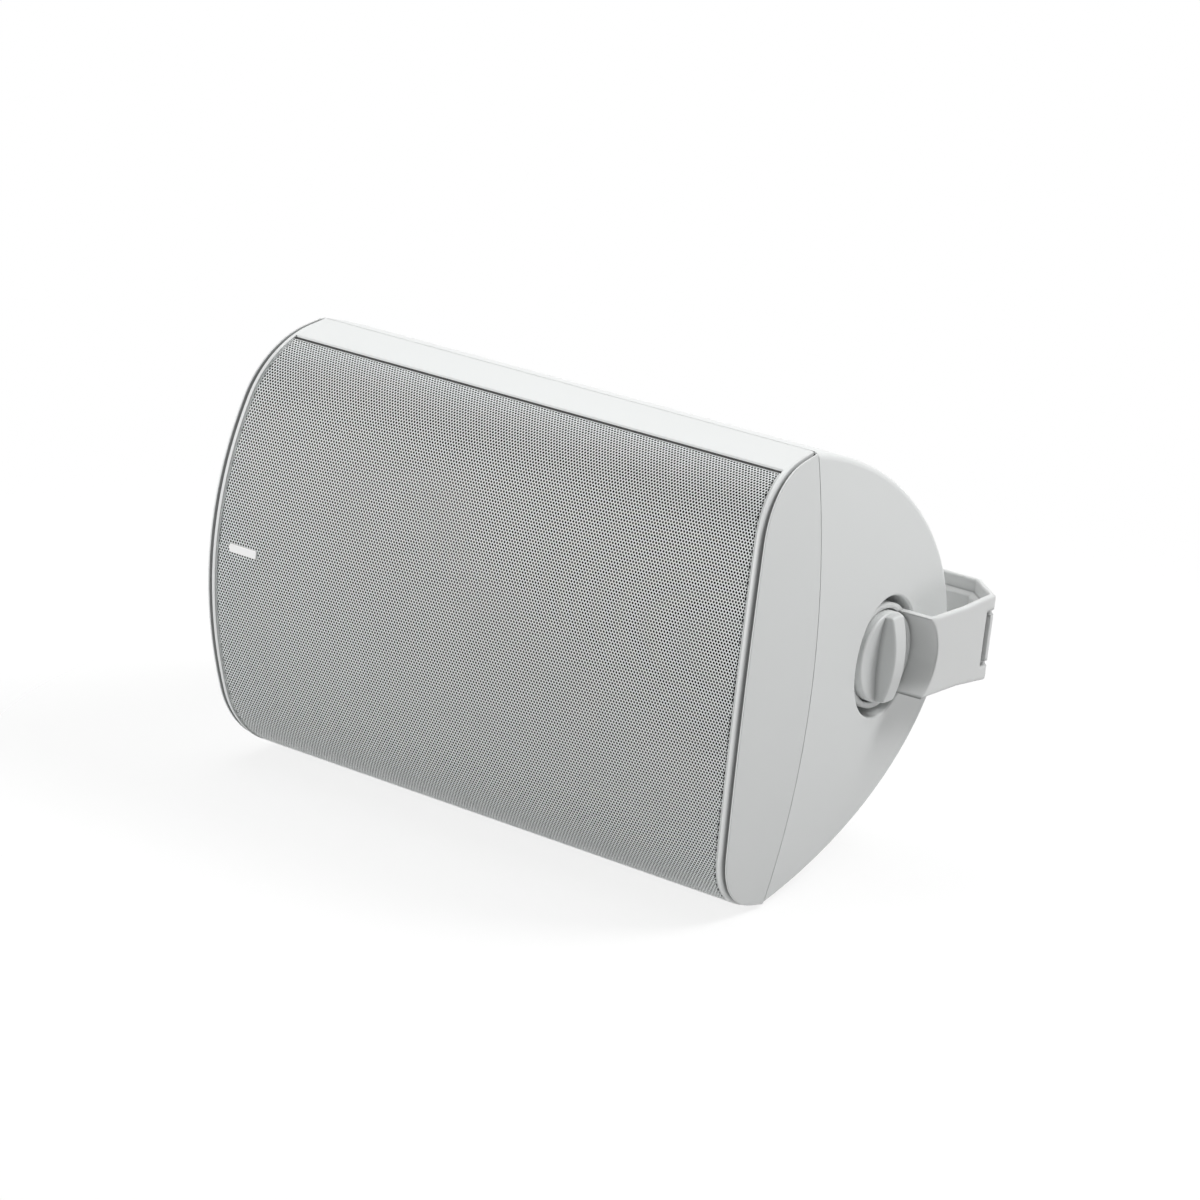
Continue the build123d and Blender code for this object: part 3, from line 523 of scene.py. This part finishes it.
# Grille cloth: black acoustic cloth stretched behind the perforated sheet, a plain
# weave that keeps insects and spray off the drivers.
def woven(name, thread_colour, gap_colour, thread):
    """A plain weave of the given thread spacing."""
    material, tree, shader, place = new_material(name)
    wave_length = 0.314  # of a wave texture at scale 1
    across = tree.nodes.new("ShaderNodeTexWave")
    upward = tree.nodes.new("ShaderNodeTexWave")
    upward.bands_direction = "Z"
    weave = tree.nodes.new("ShaderNodeMath")
    weave.operation = "MULTIPLY"
    for wave, end in ((across, 0), (upward, 1)):
        wave.inputs["Scale"].default_value = wave_length / thread
        tree.links.new(place, wave.inputs["Vector"])
        tree.links.new(wave.outputs["Fac"], weave.inputs[end])
    colour = mixed(tree, weave.outputs[0], gap_colour, thread_colour)
    bump = tree.nodes.new("ShaderNodeBump")
    bump.inputs["Distance"].default_value = thread / 4
    shader.inputs["Roughness"].default_value = 0.95
    tree.links.new(weave.outputs[0], bump.inputs["Height"])
    tree.links.new(colour, shader.inputs["Base Color"])
    tree.links.new(bump.outputs["Normal"], shader.inputs["Normal"])
    return material


black_cloth = woven("black_cloth", (0.022, 0.022, 0.022), (0.008, 0.008, 0.008), thread=0.0008)
dress(black_cloth, "grille_cloth")

# Name plate: a small bare plate of satin aluminium with softened edges, fixed flat on the
# grille near its left end.
plate_aluminium = grained(
    "plate_aluminium", (0.86, 0.86, 0.86), (0.80, 0.80, 0.80),
    roughness=0.4, grain=0.0003, depth=0.00002, metallic=0.2,
)
dress(plate_aluminium, "name_plate")

# Woofer: black glass-filled basket, ferrite motor between plated steel plates, coated
# cone on a rubber surround, and a dipped cloth spider around the wound coil.
basket_resin = grained(
    "basket_resin", (0.045, 0.045, 0.05), (0.03, 0.03, 0.033),
    roughness=0.55, grain=0.0007, depth=0.0001,
)
plated_steel = grained(
    "plated_steel", (0.62, 0.62, 0.60), (0.50, 0.50, 0.48),
    roughness=0.35, grain=0.0005, depth=0.00003, metallic=1.0,
)
ferrite = grained(
    "ferrite", (0.09, 0.09, 0.095), (0.06, 0.06, 0.065),
    roughness=0.6, grain=0.0009, depth=0.00015,
)
coated_cone = grained(
    "coated_cone", (0.07, 0.07, 0.075), (0.045, 0.045, 0.05),
    roughness=0.5, grain=0.0015, depth=0.0002,
)
surround_rubber = grained(
    "surround_rubber", (0.03, 0.03, 0.03), (0.02, 0.02, 0.02),
    roughness=0.45, grain=0.0006, depth=0.00005,
)
enamelled_wire = grained(
    "enamelled_wire", (0.70, 0.32, 0.15), (0.55, 0.24, 0.11),
    roughness=0.3, grain=0.0005, depth=0.0001, metallic=0.9,
)
dipped_cloth = woven("dipped_cloth", (0.62, 0.45, 0.20), (0.40, 0.28, 0.12), thread=0.0012)
dress(basket_resin, "woofer_basket")
dress(plated_steel, "woofer_front_plate", "woofer_pole_plate")
dress(ferrite, "woofer_magnet")
dress(coated_cone, "woofer_cone", "woofer_dust_cap")
dress(surround_rubber, "woofer_surround")
dress(dipped_cloth, "woofer_spider")
dress(enamelled_wire, "woofer_voice_coil")

# Tweeter: a moulded faceplate with a shallow horn, an anodised dome at its throat and a
# closed steel motor behind it, screwed to the baffle.
black_resin = grained(
    "black_resin", (0.035, 0.035, 0.035), (0.025, 0.025, 0.025),
    roughness=0.5, grain=0.0006, depth=0.00008,
)
dome_metal = grained(
    "dome_metal", (0.75, 0.76, 0.78), (0.68, 0.69, 0.71),
    roughness=0.3, grain=0.0004, depth=0.00002, metallic=1.0,
)
dress(black_resin, "tweeter_faceplate")
dress(dome_metal, "tweeter_dome")
dress(plated_steel, "tweeter_motor")

# Terminals and crossover: two colour-coded binding posts on a moulded plate in the back,
# wired to a small board with air coils and film capacitors.
red_cap = grained(
    "red_cap", (0.55, 0.03, 0.03), (0.45, 0.02, 0.02),
    roughness=0.3, grain=0.0008, depth=0.00005,
)
black_cap = grained(
    "black_cap", (0.03, 0.03, 0.03), (0.02, 0.02, 0.02),
    roughness=0.3, grain=0.0008, depth=0.00005,
)
board_laminate = grained(
    "board_laminate", (0.05, 0.24, 0.11), (0.03, 0.17, 0.08),
    roughness=0.45, grain=0.001, depth=0.00005,
)
film_wrap = grained(
    "film_wrap", (0.72, 0.58, 0.08), (0.62, 0.48, 0.06),
    roughness=0.3, grain=0.0008, depth=0.00003,
)
dress(black_resin, "terminal_plate")
dress(red_cap, "terminal_post_red")
dress(black_cap, "terminal_post_black")
dress(board_laminate, "crossover_board")
dress(enamelled_wire, "crossover_coils")
dress(film_wrap, "crossover_capacitors")

# Padding: bonded white wadding, cut to a strip and laid against the inside of the back to
# damp the cabinet.
wadding = grained(
    "wadding", (0.80, 0.80, 0.76), (0.62, 0.62, 0.58),
    roughness=0.95, grain=0.003, depth=0.0015, spread=0.04,
)
dress(wadding, "damping_pad")

# Screws, inserts and washers: bright steel screws and studs, turned brass inserts set in
# the pivot bosses, and nylon washers under the bracket's eyes.
bright_steel = grained(
    "bright_steel", (0.66, 0.66, 0.66), (0.56, 0.56, 0.56),
    roughness=0.28, grain=0.0004, depth=0.00002, metallic=1.0,
)
turned_brass = grained(
    "turned_brass", (0.78, 0.60, 0.28), (0.68, 0.50, 0.22),
    roughness=0.3, grain=0.0004, depth=0.00003, metallic=1.0,
)
nylon = grained(
    "nylon", (0.78, 0.78, 0.75), (0.72, 0.72, 0.69),
    roughness=0.55, grain=0.0007, depth=0.00005,
)
dress(bright_steel, "frame_screws", "woofer_screws", "tweeter_screws", "board_screws")
dress(bright_steel, "stud_left", "stud_right")
dress(turned_brass, "pivot_inserts")
dress(nylon, "pivot_washers")

# Knobs: white moulded hand knobs with a crowned grip bar. Each holds a stud that screws
# through the bracket's eye into the cabinet.
# The knob resin gets painted shade in its creases and round its foot.
knob_resin = grained(
    "knob_resin", (0.77, 0.785, 0.78), (0.74, 0.755, 0.75),
    roughness=0.38, grain=0.0006, depth=0.00005, edge=0.0008, painted_shade_reach=0.003,
)
dress(knob_resin, "knob_left", "knob_right")

# Wall bracket: a U of cast aluminium, powder coated white, with a dished eye at each end
# for the knob and two slots in its back for the wall screws.
# The coat gets painted shade in its dish, grooves and inside corners.
bracket_coat = grained(
    "bracket_coat", (0.80, 0.81, 0.805), (0.77, 0.78, 0.775),
    roughness=0.40, grain=0.0005, depth=0.00006, edge=0.0025, painted_shade_reach=0.003,
)
dress(bracket_coat, "wall_bracket")
